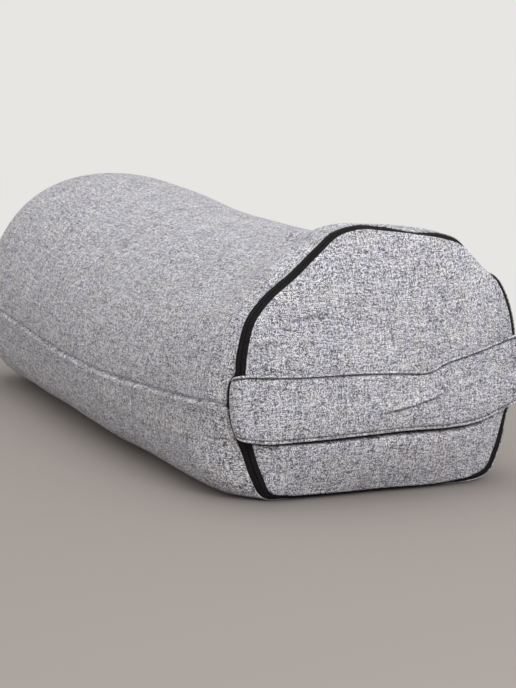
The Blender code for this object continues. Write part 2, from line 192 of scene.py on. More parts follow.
class Girth:  # what goes once round the roll, read at the same shares of the way round
    def __init__(self, shares):
        self.shares = shares
        knotPoints = zipLine[:, :2] * mm
        tilts = np.radians(zipLine[:, 2])
        wrapped = np.concatenate([knotPoints[-3:], knotPoints, knotPoints[:4]])
        wrappedTilts = np.concatenate([tilts[-3:], tilts, tilts[:4]])
        knots = arcLengths(wrapped)
        steps = len(knotPoints) * zipper["curveSteps"]
        dense = np.linspace(knots[3], knots[3 + len(knotPoints)], steps)
        lengths = arcLengths(smoothCurve(knots, wrapped, dense))
        where = np.interp(shares * lengths[-1], lengths, dense)
        along = headingBetween(knots, wrapped, where - mm, where + mm)
        self.zipLength = lengths[-1]
        self.centre = smoothCurve(knots, wrapped, where)
        self.tilt = smoothCurve(knots, wrappedTilts, where)
        self.outward = np.stack([-along[:, 1], along[:, 0]], axis=1)
        bare = np.interp(self.centre[:, 1], bareTape[:, 0] * mm, bareTape[:, 1] * mm)
        self.bare = np.where(self.centre[:, 0] < zipper["bareLeftOf"], bare, 0.0)[:, None]

    def onZip(self, across, above):  # across: from the panel's edge (-) to the body's edge (+)
        cos, sin = np.cos(self.tilt)[:, None], np.sin(self.tilt)[:, None]
        across = np.broadcast_to(across, cos.shape)
        flat = self.centre + self.outward * (sin * across + cos * above)
        y = (cos * across - sin * above)[:, 0]
        return np.stack([flat[:, 0], y, np.maximum(flat[:, 1], bolster["floorClearance"])], axis=1)

    def section(self, back):  # one cross-section of the filled body
        table = sections * (mm, mm, mm, mm, mm, 1, mm)
        row = smoothCurve(table[:, 0], table[:, 1:], np.array([back]))[0]
        left, right, top, waist, corner, seam = row
        angle = np.linspace(0, 2 * math.pi, bolster["sectionSteps"], endpoint=False)
        cos, sin = np.cos(angle), np.sin(angle)
        power = 2 / np.where(sin >= 0, bolster["upperFullness"], corner)
        reach = np.where(cos > 0, left + bolster["sectionPeak"], right - bolster["sectionPeak"])
        x = bolster["sectionPeak"] - np.sign(cos) * np.abs(cos) ** power * reach
        height = np.where(sin >= 0, top - waist, waist + bolster["bottomPress"])
        z = waist + np.sign(sin) * np.abs(sin) ** power * height
        points = np.stack([x, np.maximum(z, 0.0)], axis=1)
        onLeft = points[:, 0] < -0.5 * left
        first = int(np.argmin(np.where(onLeft, np.abs(points[:, 1] - seam), 1.0)))
        points = np.roll(points, -first, axis=0)
        points = np.concatenate([points, points[:1]])
        lengths = arcLengths(points)
        where = self.shares * lengths[-1]
        return np.stack([np.interp(where, lengths, points[:, i]) for i in (0, 1)], axis=1)

    def farRim(self):
        middle = np.array([0.0, bolster["panelMiddle"]])
        return middle + (self.section(bolster["length"]) - middle) * bolster["farSeamShrink"]

    def bodyRing(self, back):  # drawn in to the zip in front and to the far seam behind
        edge = self.onZip(zipper["width"] / 2 + zipper["edgeGap"] + self.bare, zipper["lipHeight"])
        section = self.section(back)
        swell = ((section - edge[:, [0, 2]]) * self.outward).sum(axis=1)
        towardsLeft = 0.5 - 0.5 * np.tanh(edge[:, 0] / shoulders["puffSideWidth"])
        puffed = np.tanh(swell / shoulders["puffSwell"]) * towardsLeft
        steepness = shoulders["ease"] + shoulders["puff"] * puffed
        into = np.clip(back / shoulders["near"], 0, 1)
        ease = (1 - (1 - into) ** steepness)[:, None]
        flat = edge[:, [0, 2]] * (1 - ease) + section * ease
        for x, z, reach, behind, depth, height in puffs:
            away = np.linalg.norm(self.centre - np.array([x, z]) * mm, axis=1) / (reach * mm)
            amount = height * mm * math.exp(-((back - behind * mm) / (depth * mm)) ** 2)
            amount = amount * min(1.0, back / shoulders["puffFade"])
            flat = flat + self.outward * (amount * np.exp(-away ** 2))[:, None]
        y = back + edge[:, 1] * (1 - into) ** shoulders["rimFade"]
        fromFar = np.clip((bolster["length"] - back) / shoulders["far"], 0, 1)
        roundness = shoulders["farRoundness"]
        roundOff = (1 - (1 - fromFar) ** roundness) ** (1 / roundness)
        flat = self.farRim() * (1 - roundOff) + flat * roundOff
        return np.stack([flat[:, 0], y, np.maximum(flat[:, 1], 0.0)], axis=1)

    def panelRings(self, rim, crown, edgeNormal, shares, depth):  # from the middle to the rim
        middle = np.array([0.0, rim[:, 1].mean(), bolster["panelMiddle"]])
        spoke = rim - middle
        turn = np.arctan2(spoke[:, 2], spoke[:, 0])
        oval = np.stack([np.cos(turn) * np.abs(spoke[:, 0]).max(), np.zeros(len(rim)),
                         np.sin(turn) * np.abs(spoke[:, 2]).max()], axis=1)
        rings = []
        for share in shares:
            weight = share ** bolster["ovalFade"]
            ring = middle + (spoke * weight + oval * (1 - weight)) * share
            ring[:, 1] += crown * (1 - share ** bolster["crownPower"])
            rings.append(ring)
        rings = np.array(rings)
        around = np.roll(rings, -1, axis=1) - np.roll(rings, 1, axis=1)
        normals = np.cross(around, np.gradient(rings, axis=0))
        normals[0] = (0.0, 1.0, 0.0)
        normals /= np.linalg.norm(normals, axis=2)[:, :, None]
        normals *= np.where(normals[:, :, 1:2] * crown > 0, 1.0, -1.0)
        turned = (np.array(shares) - bolster["rimTurnFrom"]) / bolster["rimTurnSpan"]
        fade = np.clip(turned, 0, 1)[:, None, None]
        normals = normals * (1 - fade) + edgeNormal * fade
        return rings - normals * depth

    def nearPanel(self, shares, depth=0.0):
        rim = self.onZip(-zipper["width"] / 2 - zipper["edgeGap"] - zipper["rimGap"], zipper["panelLip"])
        edgeNormal = (self.onZip(0.0, mm) - self.onZip(0.0, 0.0)) / mm
        return self.panelRings(rim, -bolster["nearCrown"], edgeNormal, shares, depth)

    def farPanel(self, shares, depth=0.0):
        middle = np.array([0.0, bolster["panelMiddle"]])
        flat = middle + (self.farRim() - middle) * bolster["farPanelShare"]
        rim = np.stack([flat[:, 0], np.full(len(flat), bolster["length"]), flat[:, 1]], axis=1)
        return self.panelRings(rim, bolster["farCrown"], np.array([0.0, 1.0, 0.0]), shares, depth)


def creaseAmount(x, z, start, end, width):  # 1 on a line, fading to its sides and towards its ends
    start, end = np.array(start) * mm, np.array(end) * mm
    along = end - start
    share = ((x - start[0]) * along[0] + (z - start[1]) * along[1]) / (along @ along)
    away = ((x - start[0]) * -along[1] + (z - start[1]) * along[0]) / math.sqrt(along @ along)
    return np.exp(-(away / (width * mm)) ** 2) * np.exp(-((share - 0.5) / creaseReach) ** 4)


def clothGrid(name, points, uvs, **values):  # a skin over a grid, welded where it meets itself
    rows, columns = points.shape[:2]
    bm = bmesh.new()
    bmesh.ops.create_grid(bm, x_segments=columns - 1, y_segments=rows - 1, size=1.0)
    bm.verts.ensure_lookup_table()
    places = points.reshape(-1, 3) + np.array(offset)
    for vertex, place in zip(bm.verts, places):
        vertex.co = place
    for valueName, numbers in values.items():
        valueLayer = bm.verts.layers.float.new(valueName)
        for vertex, number in zip(bm.verts, numbers.reshape(-1)):
            vertex[valueLayer] = number
    layer = bm.loops.layers.uv.new("clothMap")
    flatUvs = uvs.reshape(-1, 2)
    for face in bm.faces:
        for loop in face.loops:
            loop[layer].uv = flatUvs[loop.vert.index]
    bmesh.ops.remove_doubles(bm, verts=bm.verts, dist=weldDistance)
    bmesh.ops.recalc_face_normals(bm, faces=bm.faces)
    return meshObject(name, bm)


def meshObject(name, bm):
    mesh = bpy.data.meshes.new(name)
    bm.to_mesh(mesh)
    bm.free()
    mesh.shade_smooth()
    return newObject(name, mesh)


def newObject(name, data):
    made = bpy.data.objects.new(name, data)
    bpy.context.scene.collection.objects.link(made)
    return made


def closePoles(*grids):  # the first and the last row each become one point
    for grid in grids:
        for end in (0, -1):
            grid[end] = grid[end].mean(axis=0)


def vertexPlaces(mesh):
    return np.array([vertex.co for vertex in mesh.vertices])


def wrapRing(ring):  # repeats the first column so that the grid closes
    return np.concatenate([ring, ring[:, :1]], axis=1)


# Materials

def newMaterial(name, roughness):
    material = bpy.data.materials.new(name)
    material.use_nodes = True
    shader = material.node_tree.nodes["Principled BSDF"]
    shader.inputs["Roughness"].default_value = roughness
    return material, NodeMaker(material.node_tree), shader


class NodeMaker:  # short calls for the nodes that a weave needs
    def __init__(self, tree):
        self.tree = tree

    def node(self, kind, **settings):
        made = self.tree.nodes.new(kind)
        for name, value in settings.items():
            setattr(made, name, value)
        return made

    def feed(self, socket, value):
        if isinstance(value, bpy.types.NodeSocket):
            self.tree.links.new(value, socket)
        else:
            socket.default_value = value

    def fed(self, made, values):
        for socket, value in zip(made.inputs, values):
            self.feed(socket, value)
        return made.outputs[0]

    def math(self, operation, *values):
        return self.fed(self.node("ShaderNodeMath", operation=operation), values)

    def combine(self, *values):
        return self.fed(self.node("ShaderNodeCombineXYZ"), values)

    def noiseAt(self, vector, scale, detail):
        made = self.node("ShaderNodeTexNoise")
        self.feed(made.inputs["Vector"], vector)
        made.inputs["Scale"].default_value = scale
        made.inputs["Detail"].default_value = detail
        return made.outputs["Fac"]

    def ramp(self, factor, stops):
        made = self.node("ShaderNodeValToRGB")
        elements = made.color_ramp.elements
        while len(elements) < len(stops):
            elements.new(0.5)
        for element, (position, colour) in zip(elements, stops):
            element.position = position
            element.color = (*colour, 1.0)
        self.feed(made.inputs[0], factor)
        return made.outputs["Color"]

    def mix(self, factor, first, second, blend="MIX"):
        made = self.node("ShaderNodeMix", data_type="RGBA", blend_type=blend)
        self.feed(made.inputs[0], factor)
        self.feed(made.inputs[6], first)
        self.feed(made.inputs[7], second)
        return made.outputs[2]

    def bump(self, height, strength, distance):
        made = self.node("ShaderNodeBump")
        made.inputs["Strength"].default_value = strength
        made.inputs["Distance"].default_value = distance
        self.feed(made.inputs["Height"], height)
        return made.outputs[0]

    def clothMap(self):  # the two directions of a piece's own cloth map
        split = self.node("ShaderNodeSeparateXYZ")
        self.feed(split.inputs[0], self.node("ShaderNodeUVMap", uv_map="clothMap").outputs["UV"])
        return split.outputs[0], split.outputs[1]


melange = {
    "pitch": 0.00072,  # one thread to the next
    "streak": 0.0021,  # how long one shade lasts along a thread
    "slub": 0.012,  # length of the slow changes of shade
    "apart": 7.31,  # how far apart two threads read the noise
    "slubWeight": 0.36,
    "streakWeight": 0.80,
    "fleckWeight": 0.24,
    "stops": (0.525, 0.64, 0.755, 0.87),
    "darkest": (0.046, 0.046, 0.059),
    "dark": (0.27, 0.268, 0.304),
    "light": (0.67, 0.665, 0.72),
    "lightest": (0.95, 0.945, 0.99),
    "tucked": (0.07, 0.066, 0.07),  # painted shade: the colour deep in the slot under the handle, in the stitched grooves and in the creases
    "threadEdge": 0.86,  # painted shade at a thread's edge, and the painted highlight by which its middle is lighter
    "threadMiddle": 0.22,
    "driftScale": 38.0,
    "hueScale": 95.0,
    "fleckHeight": 0.6,
    "bump": 0.00022,
    "bumpStrength": 0.8,
}


def melangeCloth():
    material, make, shader = newMaterial("melangeCloth", 0.9)
    u, v = make.clothMap()
    across = make.math("DIVIDE", u, melange["pitch"])
    along = make.math("DIVIDE", v, melange["pitch"])
    warpNumber = make.math("FLOOR", across)
    weftNumber = make.math("FLOOR", along)
    perStreak = melange["pitch"] / melange["streak"]
    perSlub = melange["pitch"] / melange["slub"]

    def threadShade(number, run, seed):  # the shade of a thread along its run
        apart = make.math("MULTIPLY", number, melange["apart"])
        streakRun, slubRun = (make.math("MULTIPLY", run, share) for share in (perStreak, perSlub))
        streaks = make.noiseAt(make.combine(apart, streakRun, seed), 1.0, 1.0)
        slubs = make.noiseAt(make.combine(slubRun, apart, seed + 5.3), 1.0, 0.0)
        weighted = make.math("MULTIPLY", streaks, melange["streakWeight"])
        return make.math("MULTIPLY_ADD", slubs, melange["slubWeight"], weighted)

    warpShade = threadShade(warpNumber, along, 1.9)
    weftShade = threadShade(weftNumber, across, 8.6)
    parity = make.math("PINGPONG", make.math("ADD", warpNumber, weftNumber), 1.0)
    warpOnTop = make.math("GREATER_THAN", parity, 0.5)
    topShade = make.node("ShaderNodeMix", data_type="FLOAT")
    make.feed(topShade.inputs[0], warpOnTop)
    make.feed(topShade.inputs[2], weftShade)
    make.feed(topShade.inputs[3], warpShade)
    fleck = make.node("ShaderNodeTexWhiteNoise", noise_dimensions="2D")
    make.feed(fleck.inputs["Vector"], make.combine(warpNumber, weftNumber, 0.0))
    shade = make.math("MULTIPLY_ADD", fleck.outputs["Value"], melange["fleckWeight"], topShade.outputs[0])
    colours = [melange[name] for name in ("darkest", "dark", "light", "lightest")]
    shades = make.ramp(shade, list(zip(melange["stops"], colours)))

    # painted shade between the threads and painted highlight on their rounded middles; the same rounding also
    # raises the bump
    rounds = [make.math("SINE", make.math("MULTIPLY", make.math("FRACT", run), math.pi))
              for run in (across, along)]
    hollow = make.math("MULTIPLY", *rounds)
    paintedThreadShade = make.math("MULTIPLY_ADD", hollow, melange["threadMiddle"], melange["threadEdge"])
    threads = make.mix(1.0, shades, make.combine(paintedThreadShade, paintedThreadShade, paintedThreadShade), "MULTIPLY")

    drift = make.noiseAt(make.combine(u, v, 3.1), melange["driftScale"], 2.0)
    driftColour = make.ramp(drift, [(0.3, (0.95, 0.95, 0.965)), (0.7, (1.04, 1.035, 1.03))])
    hue = make.noiseAt(make.combine(v, u, 7.7), melange["hueScale"], 2.0)
    hueColour = make.ramp(hue, [(0.3, (1.02, 1.005, 0.965)), (0.7, (0.98, 0.995, 1.035))])
    drifted = make.mix(1.0, threads, driftColour, "MULTIPLY")
    unshaded = make.mix(1.0, drifted, hueColour, "MULTIPLY")
    # painted shade: the cloth colour is darkened by its own attribute in the slot under the handle, in the
    # stitched grooves and in the creases
    tucked = make.node("ShaderNodeAttribute", attribute_name="tucked").outputs["Fac"]
    shaded = make.mix(1.0, unshaded, (*melange["tucked"], 1.0), "MULTIPLY")
    make.feed(shader.inputs["Base Color"], make.mix(tucked, unshaded, shaded))

    height = make.math("MULTIPLY_ADD", fleck.outputs["Value"], melange["fleckHeight"], hollow)
    make.feed(shader.inputs["Normal"], make.bump(height, melange["bumpStrength"], melange["bump"]))
    shader.inputs["Specular IOR Level"].default_value = 0.2
    shader.inputs["Sheen Weight"].default_value = 0.08
    shader.inputs["Sheen Roughness"].default_value = 0.5
    return material


tapeLook = {
    "ribPitch": 0.0007,
    "black": (0.0045, 0.0038, 0.0042),
    "worn": (0.020, 0.017, 0.0185),
    "stops": (0.40, 0.85),
    "wearScale": 420.0,
    "weaveWeight": 0.12,
    "bump": 0.0002,
    "bumpStrength": 0.5,
}


def zipTapeCloth():
    material, make, shader = newMaterial("zipTapeCloth", 0.62)
    u, v = make.clothMap()
    perRib = 2 * math.pi / tapeLook["ribPitch"]
    weave = make.math("MULTIPLY", *(make.math("SINE", make.math("MULTIPLY", run, perRib)) for run in (u, v)))
    wear = make.noiseAt(make.combine(u, v, 0.0), tapeLook["wearScale"], 3.0)
    tint = make.math("MULTIPLY_ADD", weave, tapeLook["weaveWeight"], wear)
    colour = make.ramp(tint, list(zip(tapeLook["stops"], (tapeLook["black"], tapeLook["worn"]))))
    make.feed(shader.inputs["Base Color"], colour)
    make.feed(shader.inputs["Normal"], make.bump(weave, tapeLook["bumpStrength"], tapeLook["bump"]))
    shader.inputs["Specular IOR Level"].default_value = 0.18
    return material


cloth = melangeCloth()
tape = zipTapeCloth()
print("materials done")

# The filled body

bodyLook = {
    "columns": 150,
    "seamSteps": (0.0008, 0.0018, 0.0033, 0.0056, 0.0090),
    "girth": 0.760,
    "weftScale": 0.78,  # the roll's cloth is woven a little coarser along the roll
    "rows": 128,
    "evenRows": 0.45,  # the rest of the rows crowd towards the near end, by this power
    "rowPower": 1.9,
    "backingRings": (0.0, 0.25, 0.5, 0.72, 0.9, 1.0),
    "seamClear": 1.3,  # even columns keep this far from the close ones
    "puckerClear": 0.0012,
    "puckerColumns": (-0.0305, -0.0290, -0.0276, -0.0262, -0.0248, 0.0245, 0.0275, 0.0305, 0.0335),
    "seamDepth": 0.0038,
    "seamWidth": 0.0010,
    "seamRoll": 0.0019,
    "rollAt": 0.0032,  # the rolled edge lies this far beside the seam
    "rollWidth": 0.0026,
    "seamHold": 0.002,
    "seamFrom": 0.001,
    "seamFade": 0.006,
    "waveHeight": 0.0010,
    "waveSize": 0.070,
    "waveFrom": 0.012,
    "waveFade": 0.03,
    "waveFloor": 0.004,
    "flankX": -0.1,
    "puckerFade": 0.003,
    "quality": 6,
    "mass": 0.35,
    "stretchStiffness": 25,
    "shearStiffness": 12,
    "bendStiffness": 1.2,
    "pressure": 4.0,
    "slack": -0.035,
    "frames": 20,
    "mostMove": 0.0020,
}
flankPuckers = (  # start and end as distance behind and height in mm, height, half width
    ((2, 101), (11, 114), 1.6, 3.0),
    ((4, 51.5), (24, 49.5), -1.5, 1.2),
    ((3, 60), (17, 64), -0.8, 1.8),
    ((2, 118), (15, 132), -0.7, 2.6),
)


def bodyShares():  # even columns, with closer ones beside the long seam
    even = np.arange(1, bodyLook["columns"]) / bodyLook["columns"]
    close = np.array(bodyLook["seamSteps"]) / bodyLook["girth"]
    clear = close[-1] * bodyLook["seamClear"]
    even = even[(even > clear) & (even < 1 - clear)]
    more = np.array(bodyLook["puckerColumns"]) / bodyLook["girth"] % 1.0
    even = even[np.abs(even[:, None] - more).min(axis=1) > bodyLook["puckerClear"] / bodyLook["girth"]]
    return np.sort(np.concatenate([[0.0], close, even, more, 1 - close]))


def makeBody():
    girth = Girth(bodyShares())
    inner = bodyLook["backingRings"]
    half = zipper["width"] / 2 + zipper["edgeGap"]
    sunk = bolster["clothThickness"] + bolster["backingGap"] / 2
    rings = list(girth.nearPanel(inner, sunk))
    edge, bed, lip = half + girth.bare, -zipper["bedGap"], zipper["lipHeight"]
    rings += [girth.onZip(0.0, bed), girth.onZip(edge, bed),
              girth.onZip(edge - zipper["edgeStep"], lip * 0.25), girth.onZip(edge, lip * 0.75)]
    t = np.linspace(0, 1, bodyLook["rows"])
    crowded = 1 - bodyLook["evenRows"]
    backs = bolster["length"] * (bodyLook["evenRows"] * t + crowded * t ** bodyLook["rowPower"])
    firstRow = len(rings)
    rings += [girth.bodyRing(back) for back in backs]
    lastRow = len(rings)
    step = girth.farPanel(inner, sunk)
    rim = girth.farRim()
    rings.append(np.stack([rim[:, 0], step[-1][:, 1], rim[:, 1]], axis=1))
    rings += list(step[::-1])
    points = wrapRing(np.array(rings))
    around = np.append(girth.shares, 1.0) * bodyLook["girth"]
    steps = np.linalg.norm(np.diff(points, axis=0), axis=2).mean(axis=1)
    alongLengths = np.concatenate([[0.0], np.cumsum(steps)]) * bodyLook["weftScale"]
    uvs = np.stack(np.broadcast_arrays(around[None, :], alongLengths[:, None]), axis=2)
    closePoles(points)
    holds = np.ones(points.shape[:2])
    fromSeam = np.minimum(around, bodyLook["girth"] - around)
    holds[firstRow + 1:lastRow - 1] = np.where(fromSeam < bodyLook["seamHold"], 1.0, 0.0)
    return clothGrid("bolsterBody", points, uvs, held=holds)


def settle(piece, look):  # inflates the cloth between its seams, which hold, and returns where it moved to, each move held short
    mesh = piece.data
    before = vertexPlaces(mesh)
    hold = np.array([entry.value for entry in mesh.attributes["held"].data])
    groups = {"held": hold, "slack": 1 - hold}
    for name, weights in groups.items():
        group = piece.vertex_groups.new(name=name)
        for number, weight in enumerate(weights):
            group.add([number], float(weight), "REPLACE")
    settling = piece.modifiers.new("settling", "CLOTH")
    setup = settling.settings
    setup.quality = look["quality"]
    setup.mass = look["mass"]
    setup.tension_stiffness = setup.compression_stiffness = look["stretchStiffness"]
    setup.shear_stiffness = look["shearStiffness"]
    setup.bending_stiffness = look["bendStiffness"]
    setup.use_pressure = True
    setup.uniform_pressure_force = look["pressure"]
    setup.vertex_group_mass = "held"
    setup.vertex_group_shrink = "slack"
    setup.shrink_min = 0.0
    setup.shrink_max = look["slack"]
    setup.effector_weights.gravity = 0.0
    settling.collision_settings.use_collision = False
    for number in range(1, look["frames"] + 1):
        bpy.context.scene.frame_set(number)
    shown = piece.evaluated_get(bpy.context.evaluated_depsgraph_get())
    after = vertexPlaces(shown.data)
    piece.modifiers.remove(settling)
    bpy.context.scene.frame_set(1)
    move = after - before
    reach = np.linalg.norm(move, axis=1)[:, None]
    print(f"cloth moved {reach.max() / mm:.1f} mm at most, {reach.mean() / mm:.2f} on average")
    move *= look["mostMove"] / (look["mostMove"] + reach)
    return before + move


def finishBody(piece, places):  # long waves in the filling, then the long seam
    mesh = piece.data
    uv = mesh.uv_layers["clothMap"].data
    around = np.zeros(len(mesh.vertices))
    for loop in mesh.loops:
        u = uv[loop.index].uv[0]
        around[loop.vertex_index] = u if u < bodyLook["girth"] / 2 else u - bodyLook["girth"]
    normals = np.array([vertex.normal for vertex in mesh.vertices])
    back = places[:, 1] - offset.y
    fade = np.clip((back - bodyLook["waveFrom"]) / bodyLook["waveFade"], 0, 1)
    fade = fade * np.clip((bolster["length"] - back) / bodyLook["waveFade"], 0, 1)
    waves = wavyNoise(places, bodyLook["waveSize"], 4.0) * bodyLook["waveHeight"] * fade
    waves = waves * (places[:, 2] > bodyLook["waveFloor"])
    depth = bodyLook["seamDepth"] * np.exp(-(around / bodyLook["seamWidth"]) ** 2)
    roll = bodyLook["seamRoll"] * np.exp(-((around + bodyLook["rollAt"]) / bodyLook["rollWidth"]) ** 2)
    seamStart, seamEnd = bodyLook["seamFrom"], bolster["length"] + bodyLook["seamFrom"]
    seam = (roll - depth) * np.clip((back - seamStart) / bodyLook["seamFade"], 0, 1) * (back < seamEnd)
    pucker = np.zeros(len(places))
    for start, end, height, width in flankPuckers:
        amount = creaseAmount(back, places[:, 2], start, end, width)
        onFlank = places[:, 0] < bodyLook["flankX"]
        pucker += amount * height * mm * onFlank * np.clip(back / bodyLook["puckerFade"], 0, 1)
    places = places + normals * (waves + seam + pucker)[:, None]
    places[:, 2] = np.maximum(places[:, 2], 0.0)
    for vertex, place in zip(mesh.vertices, places):
        vertex.co = place
    piece.vertex_groups.clear()
    mesh.attributes.remove(mesh.attributes["held"])
    finer = piece.modifiers.new("finer", "SUBSURF")
    finer.levels = finer.render_levels = 1


body = makeBody()
settled = settle(body, bodyLook)
finishBody(body, settled)
body.data.materials.append(cloth)
print("body", len(body.data.polygons), "faces")

# The two end panels, after the handle's values, which the near one follows

handle = {
    "rows": 320,
    "halfThick": 0.0017,
    "edgeRound": 0.0014,
    "stitchInset": 0.0026,
    "stitchSink": 0.0015,
    "topSink": 0.0023,  # the upper row of stitches is pulled tighter
    "backSink": 0.0003,
    "topShade": 0.8,  # painted shade: how dark the upper groove, the lower one and the crease are painted, 0 to 1
    "lowShade": 0.35,
    "creaseShade": 0.6,
    "stitchHalfWidth": 0.0008,
    "puffWidth": 0.006,
    "edgeShare": 0.86,  # share of the thickness at the edges, and the rest, which the puff adds
    "puffShare": 0.14,
    "middle": 0.6,
    "leftTuck": 0.0015,  # the left root is drawn in by this, so the tape beside it shows
    "tuckReach": 0.022,
    "curl": 0.0040,  # the lower edge curls in towards the panel
    "curlReach": 0.022,
    "curlFrom": 0.016,  # it starts where the handle stands this far forward
    "curlRamp": 0.012,
    "creaseDepth": 0.0017,
    "creaseWidth": 0.0012,
    "creaseFrom": 0.130,  # where the crease starts and ends along the handle, and how fast
    "creaseFadeIn": 0.016,
    "creaseTo": 0.197,
    "creaseFadeOut": 0.022,
    "foldHeight": 0.0026,
    "foldRise": 0.0012,
    "foldFall": 0.0060,
    "waveHeight": 0.0006,
    "waveLength": 0.030,
    "waveWidth": 0.022,
    "waveClear": 0.008,
    "closeLevels": (0.0, 0.0002, 0.0005, 0.0009, 0.0014, 0.0018, 0.0021, 0.0024, 0.0026, 0.0029,
                    0.0032, 0.0036, 0.0044, 0.0058, 0.0080),
    "spreadLevels": 44,
    "backMap": 0.3,  # the back's cloth lies this far away on the cloth map
    "stitchFrom": 0.004,
    "stitchClear": 0.006,
    "stitchPitch": 0.0034,
    "stitchLength": 0.0026,
    "threadRadius": 0.00034,
    "threadLift": 0.3,  # share of the radius by which a stitch stands out
}
panelLook = {
    "rings": 112,
    "innerRings": 30,
    "columns": 288,
    "fuller": 0.0028,  # how much more the filled panel crowns than the solid
    "ledge": 0.0050,  # below the handle the panel bulges towards its face by up to this
    "ledgeBehindFace": 0.0012,
    "ledgeFlat": 0.003,
    "slot": 0.0030,  # height of the open slot under the handle
    "slotDepth": 0.0048,  # how far the panel sinks in behind the handle's lower edge
    "slotReach": 0.012,  # and how far up behind it
    "slotTop": 0.006,
    "slotShare": 0.93,  # share of the way out to the rim where it ends
    "slotFade": 0.35,
    "innerEarly": 0.007,  # the panel's inner face sinks sooner and deeper than the outer one
    "innerSink": 1.15,
    # painted shade in the slot under the handle: how soft its upper edge is
    "shadeSoftness": 0.0012,
    "shadeRight": 0.112,  # the painted shade in the slot ends at this x
    "shadeFade": 0.045,
    "ledgeRise": 0.0030,
    "ledgeFall": 0.030,
    "closeRings": 30,  # rings drawn close together along the ledge
    "closeReach": 0.0050,
    "creaseShade": 0.2,  # painted shade in a crease, per millimetre of its depth
    "waveHeight": 0.0008,
    "waveSize": 0.045,
    "edgeRoll": 0.0010,
    "edgeDrop": 0.0004,
    "edgeTuck": 1.6,
    "rimFade": 0.12,
    "fullerPower": 2.6,
    "ridgeShare": 0.5,  # a crease has a ridge above it: its height, distance and width
    "ridgeAway": 2.2,
    "ridgeWidth": 1.4,
}
panelCreases = (  # start and end in mm, depth in mm, half width in mm
    ((-91, 143), (-57, 151), 2.0, 1.6),
    ((-66, 139), (-30, 150), 0.5, 2.2),
    ((8, 128), (44, 141), 0.30, 2.4),
    ((-20, 36), (30, 33), 0.30, 2.6),
    ((60, 92), (84, 104), 0.30, 2.0),
)


def smoothStep(t):
    t = np.clip(t, 0, 1)
    return t * t * (3 - 2 * t)


def curlShare(forward):  # how much the handle's lower edge curls in where it stands this far forward
    return np.clip((forward - handle["curlFrom"]) / handle["curlRamp"], 0, 1)


def ledgeLine(x):  # height of the slot's lower lip and depth of the handle's outer face there
    rowX, rowForward, rowLow = (handleRows[clearRows, column] * mm for column in (0, 3, 4))
    forward = np.interp(x, rowX, rowForward)
    face = forward - handle["curl"] * curlShare(forward) + handle["halfThick"]
    return np.interp(x, rowX, rowLow) - panelLook["slot"], face


def underHandle(x, z, depth):  # the bulge that the tight handle leaves below its lower edge
    lip, face = ledgeLine(x)
    below = lip - z
    rise = smoothStep(below / panelLook["ledgeRise"] + 0.5)
    fall = np.exp(-(np.maximum(below - panelLook["ledgeFlat"], 0.0) / panelLook["ledgeFall"]) ** 2)
    return np.clip(face - panelLook["ledgeBehindFace"] - depth, 0, panelLook["ledge"]) * rise * fall


def inSlot(x, z, early, softness):  # 1 behind the handle's lower edge and in the slot under it, else 0
    below = ledgeLine(x)[0] - early - z
    closed = np.clip((panelLook["slotReach"] + early + below) / panelLook["slotTop"], 0, 1)
    return (1 - smoothStep(below / softness + 0.5)) * closed


def slotSink(x, z, share, early):  # how far the panel sinks in there
    fade = np.clip((panelLook["slotShare"] - share) / panelLook["slotFade"], 0, 1)
    return panelLook["slotDepth"] * inSlot(x, z, early, panelLook["ledgeRise"]) * fade


def closeToLedge(rings):  # moves each spoke's points along it so that many lie by the ledge
    count, columns = rings.shape[:2]
    steps = np.linspace(0, 1, count)
    closer = rings.copy()
    for j in range(columns):
        spoke = rings[:, j]
        lip = ledgeLine(spoke[:, 0])[0]
        crossed = np.nonzero(spoke[:, 2] < lip)[0]
        if len(crossed) == 0 or crossed[0] == 0:
            continue
        at = steps[crossed[0]]
        lengths = arcLengths(spoke)
        reach = panelLook["closeReach"] / max(lengths[-1], mm)
        parts = lengths / lengths[-1]
        away = (parts - np.interp(at, steps, parts)) / reach
        weight = 1 + panelLook["closeRings"] / count / reach * np.exp(-away ** 2)
        density = np.concatenate([[0.0], np.cumsum((weight[1:] + weight[:-1]) / 2 * np.diff(lengths))])
        spread = np.interp(np.linspace(0, density[-1], count), density, lengths)
        for k in range(3):
            closer[:, j, k] = np.interp(spread, lengths, spoke[:, k])
    return closer


